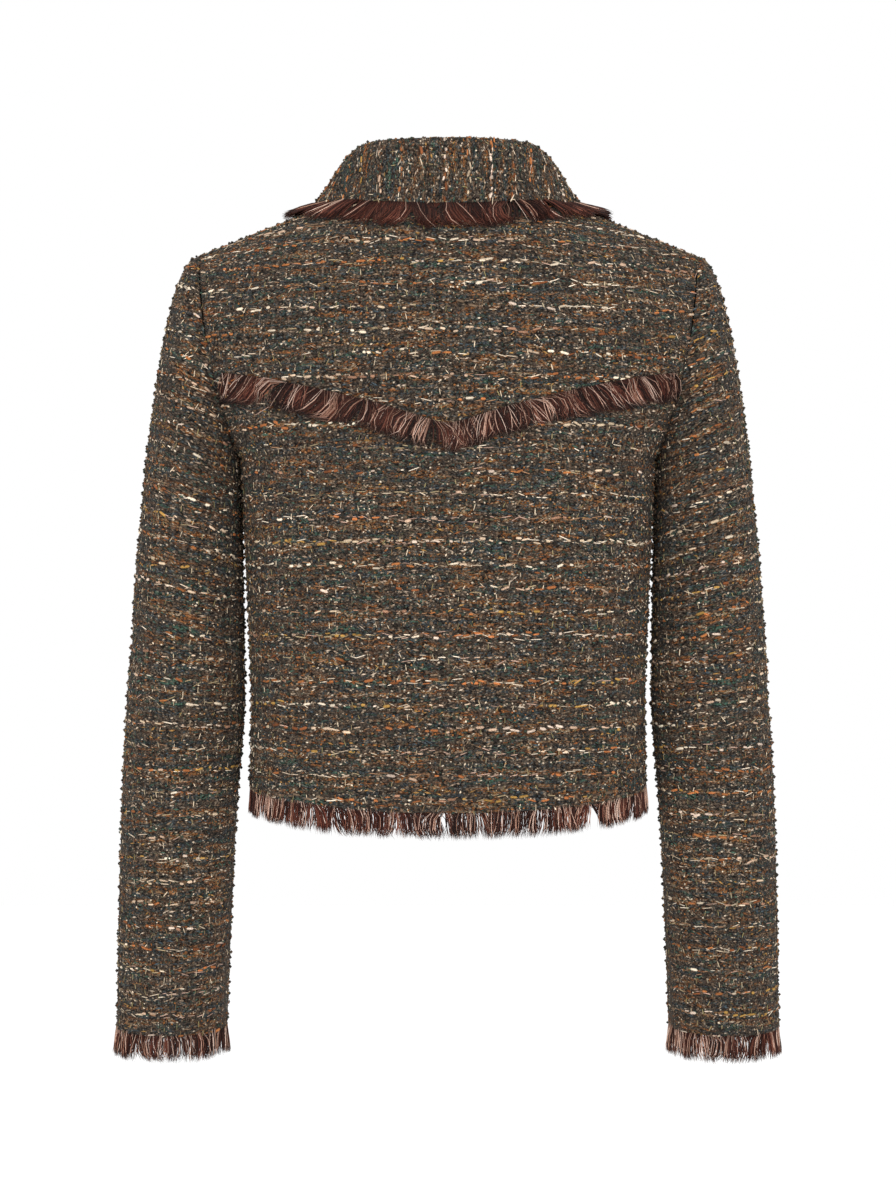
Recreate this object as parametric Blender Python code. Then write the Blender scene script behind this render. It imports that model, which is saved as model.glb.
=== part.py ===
"""Cropped tweed jacket, filled out as worn: a shirt collar, set-in sleeves and fringe trim.

Metres, +Z up. The wearer faces -Y, so the back is at +Y and the wearer's left is at +X.
The origin lies between the shoulders, at the height of the side of the neck.

The torso is one surface torso(side, u, v), cut into a back and two fronts. u runs from the
centre line (0) to the side seam, armhole or shoulder point (1). v runs from the hem (0) to
the underarm (1), the shoulder blades (1.5), and the neckline and shoulder seam (2). What
lies on the torso, such as the collar's fall and the trims, is made from its points, moved
out along its normals.
"""
import math

import bmesh
import bpy
import numpy as np

MM = 0.001
WALL = 2.0 * MM          # cloth with its lining
FRINGE_WALL = 3.0 * MM   # reach of the fringe's strands, front to back
FRINGE_DROP = 20.0 * MM  # length of the strands
SEAM = 0.3 * MM          # clearance between two pieces at a seam
LIFT = 4.6 * MM          # height of the collar's edge over the torso
FRINGE_STAND = 6.5 * MM  # how far the collar's fringe stands out over the shoulders
TRIM_LIFT = 3.9 * MM     # height of the outer side of the yoke's fringe over the back

# Torso sections, from the hem up.
TORSO = [
    # height, half width, back depth, front depth, squareness
    (-480 * MM, 156.0 * MM, 97.0 * MM, 99.0 * MM, 0.09),    # hem
    (-400 * MM, 154.8 * MM, 98.5 * MM, 102.0 * MM, 0.09),   # waist
    (-300 * MM, 158.5 * MM, 103.0 * MM, 110.0 * MM, 0.10),  # ribs
    (-212 * MM, 162.5 * MM, 107.0 * MM, 116.0 * MM, 0.11),  # underarm
    (-131 * MM, 166.0 * MM, 108.0 * MM, 112.0 * MM, 0.07),  # shoulder blades
]
HEM_Z = TORSO[0][0]
HEM_RISE = 12.0 * MM  # rise of the hem from the centres to the side seams
UNDERARM_Z = TORSO[3][0]
TORSO_CENTRE = np.array([0.0, 0.0, TORSO[2][0]])

# Armhole: an oval that bows outwards, through the shoulder point and the underarm.
SHOULDER = np.array([194.0, 0.0, -50.7]) * MM
UNDERARM = np.array([TORSO[3][1], 0.0, UNDERARM_Z])
ARMHOLE_DEPTH = {"back": 60.0 * MM, "front": 57.0 * MM}
ARMHOLE_BOW = {"back": 4.6 * MM, "front": 1.5 * MM}

# Neckline: half ovals that meet at the side of the neck.
NECK_HALF_WIDTH = 69.0 * MM
NECK_SIDE_Z = -2.0 * MM
NECK_DEPTH = {"back": 62.0 * MM, "front": 85.0 * MM}
NECK_DROP = {"back": 6.0 * MM, "front": 76.0 * MM}
NECK_SQUARE = {"back": 0.07, "front": 0.0}
NECK_SHARE = 0.4  # share of u along the top that the neckline takes
NECK_TURN = {"back": 0.6, "front": 0.45}  # slope at the neckline, as a share of a right angle
CORNER_ROUND = 0.3  # how fast the corner at the side of the neck fades below the seam
OUT = {"back": 1.0, "front": -1.0}

# Sleeve rings, from the armhole to the cuff. Each is an oval through an outer and an inner
# point of the sleeve's outline seen from the back.
SLEEVE = [
    # outer x, outer z, inner x, inner z, half depth, centre y, bow
    (194.4, -50.7, 162.9, -212.0, 60.0, 0.0, 4.6),
    (202.0, -54.5, 162.9, -216.0, 61.5, 0.0, 4.0),
    (210.0, -68.0, 162.9, -221.0, 63.0, 0.0, 3.0),
    (217.0, -90.0, 162.9, -227.0, 64.0, 0.0, 2.0),
    (225.0, -128.0, 162.9, -236.0, 64.5, 0.0, 1.0),
    (236.5, -205.0, 162.8, -255.0, 62.5, 0.0, 0.0),
    (245.5, -300.0, 162.0, -308.0, 56.5, 1.0, 0.0),
    (253.0, -403.0, 160.8, -403.0, 49.5, 1.0, 0.0),
    (258.5, -510.0, 168.8, -510.0, 45.5, -3.0, 0.0),
    (263.0, -660.0, 176.0, -660.0, 42.5, -12.0, 0.0),
]
CUFF_FLARE = 2.5 * MM

# Collar: a stand that rises from the neckline, a fold, and a fall that lies on the shoulders.
STAND_BACK = 37.0 * MM
STAND_FRONT = 11.0 * MM
COLLAR_SEAT = 1.0 * MM  # height of the stand over the neckline, clear of both their facets
FOLD_RADIUS = 5.0 * MM
FOLD_TURNS = (180, 130, 85, 40)  # degrees round the fold at which the collar has a row
FALL_ROWS = 4
FRONT_ROLL = 7.5 * MM  # how far the fall rolls out at the front, midway to its edge
COLLAR_END = math.radians(178)
COLLAR_EDGE = {
    # angle from the centre back in degrees, u and v of the torso under the collar's edge
    "back": [
        (0, 0.000, 1.905),
        (20, 0.150, 1.898),
        (45, 0.350, 1.845),
        (70, 0.510, 1.885),
        (90, 0.592, 2.000),
    ],
    "front": [
        (90, 0.592, 2.000),
        (110, 0.560, 1.800),
        (135, 0.445, 1.650),
        (160, 0.295, 1.565),
        (180, 0.180, 1.525),
    ],
}

# Yoke trim: a soft V from armhole to armhole.
YOKE_POINT_Z = -211.0 * MM
YOKE_RISE = 51.0 * MM
YOKE_HALF_SPAN = 174.0 * MM
YOKE_POWER = 0.65
YOKE_ROUND = 12.0 * MM

ROWS_BELOW = 7   # rows of facets from the hem to the underarm
ROWS_ABOVE = 10  # rows of facets along each side of the armhole
COLUMNS = 12     # columns of facets in half a torso panel
SLEEVE_RINGS = 15
COLLAR_STEPS = 34


def smooth(table, column, at):
    """Read a column of a table at given keys, which are its first column, by a smooth curve."""
    keys = np.array([row[0] for row in table], float)
    values = np.array([row[column] for row in table], float)
    slopes = np.gradient(values, keys)
    at = np.clip(np.asarray(at, float), keys[0], keys[-1])
    i = np.clip(np.searchsorted(keys, at) - 1, 0, len(keys) - 2)
    step = keys[i + 1] - keys[i]
    t = (at - keys[i]) / step
    return (
        (1 + 2 * t) * (1 - t) ** 2 * values[i]
        + t * (1 - t) ** 2 * step * slopes[i]
        + t * t * (3 - 2 * t) * values[i + 1]
        + t * t * (t - 1) * step * slopes[i + 1]
    )


def armhole(side, angle):
    """Point of the armhole at an angle from the shoulder point (0) to the underarm (pi)."""
    middle, reach = (SHOULDER + UNDERARM) / 2, (SHOULDER - UNDERARM) / 2
    x = middle[0] + reach[0] * np.cos(angle) + ARMHOLE_BOW[side] * np.sin(angle) ** 2
    y = OUT[side] * ARMHOLE_DEPTH[side] * np.sin(angle)
    return np.stack([x, y, middle[2] + reach[2] * np.cos(angle)], axis=-1)


def level_row(side, u, z, edge_x, edge_y):
    """Point of a level row: x = w sin(a + k sin 2a), y = d cos(a - k sin 2a), to its edge."""
    depth = smooth(TORSO, 2 if side == "back" else 3, z)
    square = smooth(TORSO, 4, z)
    last = np.arccos(np.clip(np.abs(edge_y) / depth, 0, 1))
    for _ in range(12):
        last = np.arccos(np.clip(np.abs(edge_y) / depth, 0, 1)) + square * np.sin(2 * last)
    width = edge_x / np.sin(last + square * np.sin(2 * last))
    a = u * last
    x = width * np.sin(a + square * np.sin(2 * a))
    y = OUT[side] * depth * np.cos(a - square * np.sin(2 * a))
    return np.stack([x, y, z + 0 * a], axis=-1)


def top_row(side, u):
    """Point of the neckline, up to u = NECK_SHARE, then of the straight shoulder seam."""
    turn = np.clip(u / NECK_SHARE, 0, 1) * math.pi / 2
    along = np.clip((u - NECK_SHARE) / (1 - NECK_SHARE), 0, 1)
    square = NECK_SQUARE[side] * np.sin(2 * turn)
    neck_z = NECK_SIDE_Z - NECK_DROP[side] * np.cos(turn - square)
    x = NECK_HALF_WIDTH * np.sin(turn + square) + (SHOULDER[0] - NECK_HALF_WIDTH) * along
    y = OUT[side] * NECK_DEPTH[side] * np.cos(turn - square)
    return np.stack([x, y, neck_z + (SHOULDER[2] - NECK_SIDE_Z) * along], axis=-1)


def torso(side, u, v):
    """Point of the torso's outer surface, on the wearer's left half (x >= 0)."""
    u, v = np.broadcast_arrays(np.asarray(u, float), np.asarray(v, float))
    angle = math.pi * (2 - np.clip(v, 1, 2))
    rim = armhole(side, angle)
    hem = HEM_Z + HEM_RISE * np.sin(u * math.pi / 2) ** 2
    z = np.where(v < 1, hem + (UNDERARM_Z - hem) * v, rim[..., 2])
    edge_x = np.where(v < 1, smooth(TORSO, 1, np.minimum(z, UNDERARM_Z)), rim[..., 0])
    edge_y = np.where(v < 1, 0.0, rim[..., 1])
    blade = armhole(side, np.array(math.pi / 2))
    low = level_row(side, u, blade[2], blade[0], blade[1])
    spread = CORNER_ROUND * np.clip(4 - 2 * v, 0, 1) * 4 * u * (1 - u)
    top = np.mean([top_row(side, u + step * spread) for step in (-1, -0.5, 0, 0.5, 1)], axis=0)
    share = np.sin(np.clip(u / NECK_SHARE, 0, 1) * math.pi / 2)
    turn = (NECK_TURN[side] + (1 - NECK_TURN[side]) * share**2) * math.pi / 2
    t = np.clip(2 * v - 3, 0, 1) * turn
    rise = (np.sin(t) / np.sin(turn))[..., None]
    reach = ((1 - np.cos(t)) / (1 - np.cos(turn)))[..., None]
    upper = low + (top - low) * np.concatenate([rise, reach, rise], axis=-1)
    level = level_row(side, u, np.minimum(z, blade[2]), edge_x, edge_y)
    return np.where((v > 1.5)[..., None], upper, level)


def torso_normal(side, u, v):
    """Unit normal of the torso's surface, by central differences inside the panel."""
    e = 0.004
    u0, u1 = np.clip(u - e, 0, 1), np.clip(u + e, 0, 1)
    v0, v1 = np.clip(v - e, 0, 2), np.clip(v + e, 0, 2)
    across = torso(side, u1, v) - torso(side, u0, v)
    along = torso(side, u, v1) - torso(side, u, v0)
    normal = np.cross(across, along)
    return normal / np.linalg.norm(normal, axis=-1, keepdims=True)


def outward(points, normal, centre):
    """Normals turned to point away from a centre line."""
    away = np.sum(normal * (points - centre), axis=-1, keepdims=True)
    return np.where(away < 0, -normal, normal)


def lifted(side, u, v, lift):
    """Point at a height over the torso, with its normal level in y on the side seams."""
    points = torso(side, u, v)
    normal = outward(points, torso_normal(side, u, v), TORSO_CENTRE)
    flat = np.abs(points[..., 1]) < 1e-6
    normal[..., 1] = np.where(flat, 0.0, normal[..., 1])
    middle = np.abs(points[..., 0]) < 1e-6
    normal[..., 0] = np.where(middle, 0.0, normal[..., 0])
    normal /= np.linalg.norm(normal, axis=-1, keepdims=True)
    return points + normal * np.asarray(lift)[..., None]


def add_piece(name, material, outer, inner, closed=False):
    """Make one closed wall between two grids of points, ringed round in columns if closed."""
    rows, columns = outer.shape[:2]
    index = np.arange(rows * columns).reshape(rows, columns)
    if closed:
        index = np.concatenate([index, index[:, :1]], axis=1)
    below = index + rows * columns

    def quads(grid):
        cells = [grid[:-1, :-1], grid[:-1, 1:], grid[1:, 1:], grid[1:, :-1]]
        return np.stack(cells, axis=-1).reshape(-1, 4)

    faces = [quads(index), quads(below)[:, ::-1]]
    rims = [(index[0], below[0]), (index[-1], below[-1])]
    if not closed:
        rims += [(index[:, 0], below[:, 0]), (index[:, -1], below[:, -1])]
    for a, b in rims:
        faces.append(np.stack([a[:-1], a[1:], b[1:], b[:-1]], axis=-1))
    points = np.concatenate([outer.reshape(-1, 3), inner.reshape(-1, 3)])
    mesh = bpy.data.meshes.new(name)
    mesh.from_pydata(points.tolist(), [], np.concatenate(faces).tolist())
    body = bmesh.new()
    body.from_mesh(mesh)
    bmesh.ops.recalc_face_normals(body, faces=body.faces)
    body.to_mesh(mesh)
    body.free()
    mesh.shade_smooth()
    mesh.set_sharp_from_angle(angle=math.radians(50))
    mesh.materials.append(material)
    piece = bpy.data.objects.new(name, mesh)
    bpy.context.scene.collection.objects.link(piece)
    return piece


def add_material(name, colour, roughness):
    """Principled material of one plain colour."""
    material = bpy.data.materials.new(name)
    material.use_nodes = True
    shader = material.node_tree.nodes["Principled BSDF"]
    shader.inputs["Base Color"].default_value = (*colour, 1)
    shader.inputs["Roughness"].default_value = roughness
    shader.inputs["Metallic"].default_value = 0
    return material


def mirrored(points):
    """Points of the wearer's right side from those of the left."""
    return points * np.array([-1, 1, 1])


def panel_rows():
    """Values of v for the rows of a panel, with the armhole's rows at even angles."""
    below = np.linspace(0, 1, ROWS_BELOW + 1)
    return np.concatenate([below, 1 + np.arange(1, ROWS_ABOVE + 1) / ROWS_ABOVE])


def panel_half(side, lift):
    """Grid over half a panel at a height over the torso's surface, clear of its seams."""
    v, u = np.meshgrid(panel_rows(), np.linspace(0, 1, COLUMNS + 1), indexing="ij")
    points = lifted(side, u, v, np.full(u.shape, lift))
    on_seam = (u == 1) & (v <= 1) | (u >= NECK_SHARE) & (v == 2)
    points[..., 1] += np.where(on_seam, OUT[side] * SEAM / 2, 0)
    return points


def add_back(cloth):
    """Back: one panel from side seam to side seam, whole across the centre."""
    grids = []
    for lift in (0.0, -WALL):
        half = panel_half("back", lift)
        grids.append(np.concatenate([mirrored(half[:, :0:-1]), half], axis=1))
    add_piece("back", cloth, *grids)


def add_fronts(cloth):
    """Fronts: a left and a right panel that meet edge to edge at the centre."""
    grids = []
    for lift in (0.0, -WALL):
        half = panel_half("front", lift)
        half[..., 0] += SEAM / 2 * (1 - np.linspace(0, 1, COLUMNS + 1))
        grids.append(half)
    add_piece("front_left", cloth, *grids)
    add_piece("front_right", cloth, *[mirrored(grid) for grid in grids])


def sleeve_rings(at):
    """Ring parameters at places from the armhole (0) to the cuff (1) of the sleeve."""
    keyed = [(i / (len(SLEEVE) - 1), *[MM * value for value in row]) for i, row in enumerate(SLEEVE)]
    return [smooth(keyed, column, at)[:, None] for column in range(1, 8)]


def sleeve_grid(at, angle):
    """Grid of the wearer's left sleeve: rings at places along it, points at angles round it."""
    outer_x, outer_z, inner_x, inner_z, depth, centre_y, bow = sleeve_rings(at)
    turn = angle[None, :]
    reach_x, reach_z = (outer_x - inner_x) / 2, (outer_z - inner_z) / 2
    front = np.sin(turn) < 0
    bow = np.where(front, bow * ARMHOLE_BOW["front"] / ARMHOLE_BOW["back"], bow)
    fade = np.clip(1 - 4 * at, 0, 1)[:, None]
    ratio = ARMHOLE_DEPTH["front"] / ARMHOLE_DEPTH["back"]
    depth = np.where(front, depth * (1 - (1 - ratio) * fade), depth)
    x = (outer_x + inner_x) / 2 + reach_x * np.cos(turn) + bow * np.sin(turn) ** 2
    y = centre_y + depth * np.sin(turn)
    z = (outer_z + inner_z) / 2 + reach_z * np.cos(turn)
    return np.stack([x, y + 0 * x, z], axis=-1)


def ring_normals(grid):
    """Outward unit normals of a closed grid of rings, from its neighbours' differences."""
    around = np.roll(grid, -1, axis=1) - np.roll(grid, 1, axis=1)
    normal = np.cross(around, np.gradient(grid, axis=0))
    normal /= np.linalg.norm(normal, axis=-1, keepdims=True)
    return outward(grid, normal, grid.mean(axis=1, keepdims=True))


def add_sleeves(cloth, fringe):
    """Sleeves with their cuff fringes, which hang from the cloth's edge."""
    angle = math.pi * np.arange(2 * ROWS_ABOVE) / ROWS_ABOVE
    outer = sleeve_grid(np.linspace(0, 1, SLEEVE_RINGS) ** 1.15, angle)
    inner = outer - WALL * ring_normals(outer)
    inner[-1, :, 2] = outer[-1, :, 2]
    cuff = sleeve_grid(np.array([1.0]), angle)[0]
    centre = cuff.mean(axis=0)
    away = (cuff - centre) / np.linalg.norm(cuff - centre, axis=1, keepdims=True)
    drop = np.array([0, 0, -1.0])
    skins = []
    for depth in (0.0, -FRINGE_WALL):
        head = cuff + drop * SEAM + away * (0.5 * MM + depth)
        tip = cuff + drop * (SEAM + FRINGE_DROP) + away * (CUFF_FLARE + depth)
        skins.append(np.stack([head, tip]))
    for hand, flip in (("left", lambda grid: grid), ("right", mirrored)):
        add_piece(f"sleeve_{hand}", cloth, flip(outer), flip(inner), closed=True)
        add_piece(f"cuff_fringe_{hand}", fringe, flip(skins[0]), flip(skins[1]), closed=True)


def by_side(angle, made):
    """Join what a function makes of the back's and the front's angles round the neck."""
    halves = [made(side, turn) for side, turn in (("back", angle), ("front", math.pi - angle))]
    return np.where((angle <= math.pi / 2)[..., None], *halves)


def neckline(angle):
    """Point of the neckline and its level outward direction, from the centre back (0)."""
    share = NECK_SHARE / (math.pi / 2)
    seat = by_side(angle, lambda side, turn: top_row(side, np.clip(turn * share, 0, NECK_SHARE)))
    depth = np.where(angle <= math.pi / 2, NECK_DEPTH["back"], NECK_DEPTH["front"])
    level = [np.sin(angle) / NECK_HALF_WIDTH, np.cos(angle) / depth, 0 * angle]
    ahead = np.stack(level, axis=-1)
    return seat, ahead / np.linalg.norm(ahead, axis=-1, keepdims=True)


def collar_edge(angle):
    """Foot of the collar's edge on the torso, its normal, and the way on over the torso."""
    degrees = np.degrees(angle)

    def at(side, lift):
        u, v = [smooth(COLLAR_EDGE[side], column, degrees) for column in (1, 2)]
        return lifted(side, u, v, lift + 0 * u)

    foot = by_side(angle, lambda side, turn: at(side, 0.0))
    normal = by_side(angle, lambda side, turn: at(side, 1.0)) - foot
    onward = np.cross(normal, np.gradient(foot, axis=0))
    onward /= np.linalg.norm(onward, axis=-1, keepdims=True)
    return foot, normal, onward


def collar_skin(angle):
    """Rows of the collar's outer skin at angles round the neck, from the stand to the edge.

    The fall is a cubic curve that leaves the fold and lands along the torso.
    """
    seat, ahead = neckline(angle)
    stand = STAND_FRONT + (STAND_BACK - STAND_FRONT) * (1 - (angle / math.pi) ** 3)

    def at(out, height):
        return seat + ahead * out + np.array([0, 0, 1.0]) * np.asarray(height)[..., None]

    rows = [at(-WALL, COLLAR_SEAT + 0 * stand), at(-1.6 * WALL, (stand - FOLD_RADIUS) / 2)]
    for turn in np.radians(FOLD_TURNS):
        out, drop = FOLD_RADIUS * (math.cos(turn) + 0.2), FOLD_RADIUS * (1 - math.sin(turn))
        rows.append(at(out, stand - drop))
    crest = rows[-1]
    foot, normal, onward = collar_edge(angle)
    edge = foot + normal * LIFT
    roll = FRONT_ROLL * np.sin(angle / 2)[..., None] ** 2
    pull = np.linalg.norm(edge - crest, axis=-1, keepdims=True) / 3
    leave = ahead * math.sin(turn) - np.array([0, 0, math.cos(turn)])
    bend = crest + leave * pull
    land = edge - onward * pull
    for t in np.linspace(0, 1, FALL_ROWS + 1)[1:]:
        near = (1 - t) ** 3 * crest + 3 * t * (1 - t) ** 2 * bend
        far = 3 * t * t * (1 - t) * land + t**3 * edge
        rows.append(near + far + normal * (roll * 4 * t * (1 - t)))
    return np.stack(rows)


def add_collar(cloth, fringe):
    """Collar in one piece, with its fringe along the outer edge from front to front."""
    angle = np.linspace(0, COLLAR_END, COLLAR_STEPS // 2 + 1)
    outer = collar_skin(angle)
    normal = np.cross(np.gradient(outer, axis=1), np.gradient(outer, axis=0))
    normal /= np.linalg.norm(normal, axis=-1, keepdims=True)
    normal[:, 0, 0] = 0
    foot, over, onward = collar_edge(angle)
    stand = FRINGE_STAND * np.exp(-(((np.degrees(angle) - 90) / 22) ** 2))[:, None]
    skins = []
    for height in (LIFT + 0.5 * MM, LIFT + 0.5 * MM - FRINGE_WALL):
        head = foot + over * height + onward * 2 * SEAM
        skins.append(np.stack([head, head + onward * FRINGE_DROP + over * stand]))
    pieces = (
        ("collar", cloth, (outer, outer - WALL * normal)),
        ("collar_fringe", fringe, skins),
    )
    for name, material, grids in pieces:
        whole = [np.concatenate([mirrored(g[:, :0:-1]), g], axis=1) for g in grids]
        add_piece(name, material, *whole)


def back_at(x, z, lift):
    """Point over the back, below the shoulder blades, at a place given by x and z."""
    rim_z = armhole("back", np.linspace(math.pi, math.pi / 2, 60))[:, 2]
    v_above = np.interp(z, rim_z, np.linspace(1, 1.5, 60))
    v = np.where(z < UNDERARM_Z, (z - HEM_Z) / (UNDERARM_Z - HEM_Z), v_above)
    grid = np.linspace(0, 1, 200)
    u = np.array([np.interp(abs(a), torso("back", grid, b)[:, 0], grid) for a, b in zip(x, v)])
    points = lifted("back", u, v, np.full(u.shape, lift))
    return np.where((x < 0)[:, None], mirrored(points), points)


def add_yoke_fringe(fringe):
    """Yoke trim: a band of fringe over the back, in a soft V from armhole to armhole."""
    x = np.linspace(-YOKE_HALF_SPAN, YOKE_HALF_SPAN, 29)
    share = np.hypot(x, YOKE_ROUND) / np.hypot(YOKE_HALF_SPAN, YOKE_ROUND)
    middle = YOKE_POINT_Z + YOKE_RISE * share**YOKE_POWER
    skins = []
    for lift in (TRIM_LIFT, TRIM_LIFT - FRINGE_WALL):
        edges = [middle + FRINGE_DROP / 2, middle, middle - FRINGE_DROP / 2]
        skins.append(np.stack([back_at(x, z, lift) for z in edges]))
    add_piece("yoke_fringe", fringe, *skins)


def add_hem_fringe(fringe):
    """Hem fringe: one strip below the hem, from one centre front round to the other."""
    turn = np.linspace(0, 1, COLUMNS + 1)
    skins = []
    for lift in (0.5 * MM, 0.5 * MM - FRINGE_WALL):
        back = lifted("back", turn, 0 * turn, np.full(turn.shape, lift))
        front = lifted("front", turn[::-1], 0 * turn, np.full(turn.shape, lift))[1:]
        front[-1, 0] = SEAM
        half = np.concatenate([back, front])
        ring = np.concatenate([mirrored(half[:0:-1]), half])
        head = ring - np.array([0, 0, SEAM])
        skins.append(np.stack([head, head - np.array([0, 0, FRINGE_DROP])]))
    add_piece("hem_fringe", fringe, *skins)


def build():
    """Empty the scene and make every piece of the jacket."""
    for old in list(bpy.data.objects):
        bpy.data.objects.remove(old, do_unlink=True)
    tweed = add_material("boucle_tweed", (0.055, 0.048, 0.04), 0.9)
    fringe = add_material("yarn_fringe", (0.05, 0.02, 0.015), 0.8)
    add_back(tweed)
    add_fronts(tweed)
    add_sleeves(tweed, fringe)
    add_collar(tweed, fringe)
    add_yoke_fringe(fringe)
    add_hem_fringe(fringe)


build()
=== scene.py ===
import math

import bpy
import numpy as np
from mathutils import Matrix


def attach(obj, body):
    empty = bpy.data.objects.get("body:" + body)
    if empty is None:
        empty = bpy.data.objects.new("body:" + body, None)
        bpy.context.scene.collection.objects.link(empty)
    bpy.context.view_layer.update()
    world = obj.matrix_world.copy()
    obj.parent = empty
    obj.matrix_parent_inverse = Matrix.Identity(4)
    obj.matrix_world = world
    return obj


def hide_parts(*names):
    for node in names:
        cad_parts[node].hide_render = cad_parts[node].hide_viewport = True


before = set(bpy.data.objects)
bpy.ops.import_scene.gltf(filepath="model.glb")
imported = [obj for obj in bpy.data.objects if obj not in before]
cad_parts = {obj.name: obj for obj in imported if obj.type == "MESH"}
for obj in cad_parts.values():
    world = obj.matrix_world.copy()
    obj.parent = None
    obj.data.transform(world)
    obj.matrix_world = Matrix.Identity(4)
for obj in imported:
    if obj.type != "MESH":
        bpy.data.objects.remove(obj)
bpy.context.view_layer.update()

# ---------------------------------------------------------------- back
# The back: one panel of boucle tweed from side seam to side seam, with a level weave.
# Wool and cotton slub yarns, woven loose and thick, cut and sewn to the fronts.

MM = 0.001
WALL = 1.8 * MM
TORSO = np.array([
    # height, half width, back depth, front depth, squareness
    (-0.480, 0.1560, 0.0970, 0.0990, 0.09),
    (-0.400, 0.1548, 0.0985, 0.1020, 0.09),
    (-0.300, 0.1585, 0.1030, 0.1100, 0.10),
    (-0.212, 0.1625, 0.1070, 0.1160, 0.11),
    (-0.131, 0.1660, 0.1080, 0.1120, 0.07),
])
HEM_Z, HEM_RISE, UNDERARM_Z = -0.480, 0.012, -0.212
SHOULDER = np.array([0.1940, 0.0, -0.0507])
UNDERARM = np.array([0.1625, 0.0, -0.2120])
ARMHOLE_DEPTH = {"back": 0.060, "front": 0.057}
ARMHOLE_BOW = {"back": 0.0046, "front": 0.0015}
NECK_HALF_WIDTH, NECK_SIDE_Z = 0.069, -0.002
NECK_DEPTH = {"back": 0.062, "front": 0.085}
NECK_DROP = {"back": 0.006, "front": 0.076}
NECK_SQUARE = {"back": 0.07, "front": 0.0}
NECK_TURN = {"back": 0.6, "front": 0.45}
NECK_SHARE = 0.4
OUT = {"back": 1.0, "front": -1.0}


def smooth(keys, values, at):
    """Read values at given keys by a cubic Hermite curve whose slopes are the differences."""
    keys, values = np.asarray(keys, float), np.asarray(values, float)
    slopes = np.gradient(values, keys, axis=0)
    at = np.clip(np.asarray(at, float), keys[0], keys[-1])
    i = np.clip(np.searchsorted(keys, at) - 1, 0, len(keys) - 2)
    spread = at.shape + (1,) * (values.ndim - 1)
    step = (keys[i + 1] - keys[i]).reshape(spread)
    t = (at - keys[i]).reshape(spread) / step
    return (
        (1 + 2 * t) * (1 - t) ** 2 * values[i]
        + t * (1 - t) ** 2 * step * slopes[i]
        + t * t * (3 - 2 * t) * values[i + 1]
        + t * t * (t - 1) * step * slopes[i + 1]
    )


def armhole(side, angle):
    """Armhole point: an oval x = m + r cos a + bow sin^2 a, y = d sin a, z = m + r cos a."""
    middle, reach = (SHOULDER + UNDERARM) / 2, (SHOULDER - UNDERARM) / 2
    x = middle[0] + reach[0] * np.cos(angle) + ARMHOLE_BOW[side] * np.sin(angle) ** 2
    y = OUT[side] * ARMHOLE_DEPTH[side] * np.sin(angle)
    return np.stack([x, y, middle[2] + reach[2] * np.cos(angle)], axis=-1)


def level_row(side, u, z, edge_x, edge_y):
    """Level row: x = w sin(a + k sin 2a), y = d cos(a - k sin 2a), out to its edge point."""
    depth = smooth(TORSO[:, 0], TORSO[:, 2 if side == "back" else 3], z)
    square = smooth(TORSO[:, 0], TORSO[:, 4], z)
    last = np.arccos(np.clip(np.abs(edge_y) / depth, 0, 1))
    for _ in range(12):  # the edge's angle settles well within a dozen steps
        last = np.arccos(np.clip(np.abs(edge_y) / depth, 0, 1)) + square * np.sin(2 * last)
    width = edge_x / np.sin(last + square * np.sin(2 * last))
    a = u * last
    x = width * np.sin(a + square * np.sin(2 * a))
    y = OUT[side] * depth * np.cos(a - square * np.sin(2 * a))
    return np.stack([x, y, z + 0 * a], axis=-1)


def top_row(side, u):
    """Top edge: half the neckline's oval up to NECK_SHARE of u, then the straight shoulder."""
    turn = np.clip(u / NECK_SHARE, 0, 1) * math.pi / 2
    along = np.clip((u - NECK_SHARE) / (1 - NECK_SHARE), 0, 1)
    square = NECK_SQUARE[side] * np.sin(2 * turn)
    neck_z = NECK_SIDE_Z - NECK_DROP[side] * np.cos(turn - square)
    x = NECK_HALF_WIDTH * np.sin(turn + square) + (SHOULDER[0] - NECK_HALF_WIDTH) * along
    y = OUT[side] * NECK_DEPTH[side] * np.cos(turn - square)
    return np.stack([x, y, neck_z + (SHOULDER[2] - NECK_SIDE_Z) * along], axis=-1)


def torso(side, u, v):
    """Torso surface: rows from a hem that rises with sin^2 towards the side seam, level to
    v = 1.5, then quarter turns that rise to the top edge."""
    u, v = np.broadcast_arrays(np.asarray(u, float), np.asarray(v, float))
    rim = armhole(side, math.pi * (2 - np.clip(v, 1, 2)))
    hem = HEM_Z + HEM_RISE * np.sin(u * math.pi / 2) ** 2
    z = np.where(v < 1, hem + (UNDERARM_Z - hem) * v, rim[..., 2])
    low_x = smooth(TORSO[:, 0], TORSO[:, 1], np.minimum(z, UNDERARM_Z))
    edge_x, edge_y = np.where(v < 1, low_x, rim[..., 0]), np.where(v < 1, 0.0, rim[..., 1])
    blade = armhole(side, np.array(math.pi / 2))
    low = level_row(side, u, blade[2], blade[0], blade[1])
    # The corner between neck and shoulder is averaged out lower down, over this much of u.
    spread = 0.3 * np.clip(4 - 2 * v, 0, 1) * 4 * u * (1 - u)
    top = np.mean([top_row(side, u + step * spread) for step in (-1, -0.5, 0, 0.5, 1)], axis=0)
    share = np.sin(np.clip(u / NECK_SHARE, 0, 1) * math.pi / 2)
    turn = (NECK_TURN[side] + (1 - NECK_TURN[side]) * share**2) * math.pi / 2
    t = np.clip(2 * v - 3, 0, 1) * turn
    rise = (np.sin(t) / np.sin(turn))[..., None]
    reach = ((1 - np.cos(t)) / (1 - np.cos(turn)))[..., None]
    upper = low + (top - low) * np.concatenate([rise, reach, rise], axis=-1)
    level = level_row(side, u, np.minimum(z, blade[2]), edge_x, edge_y)
    return np.where((v > 1.5)[..., None], upper, level)


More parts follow.
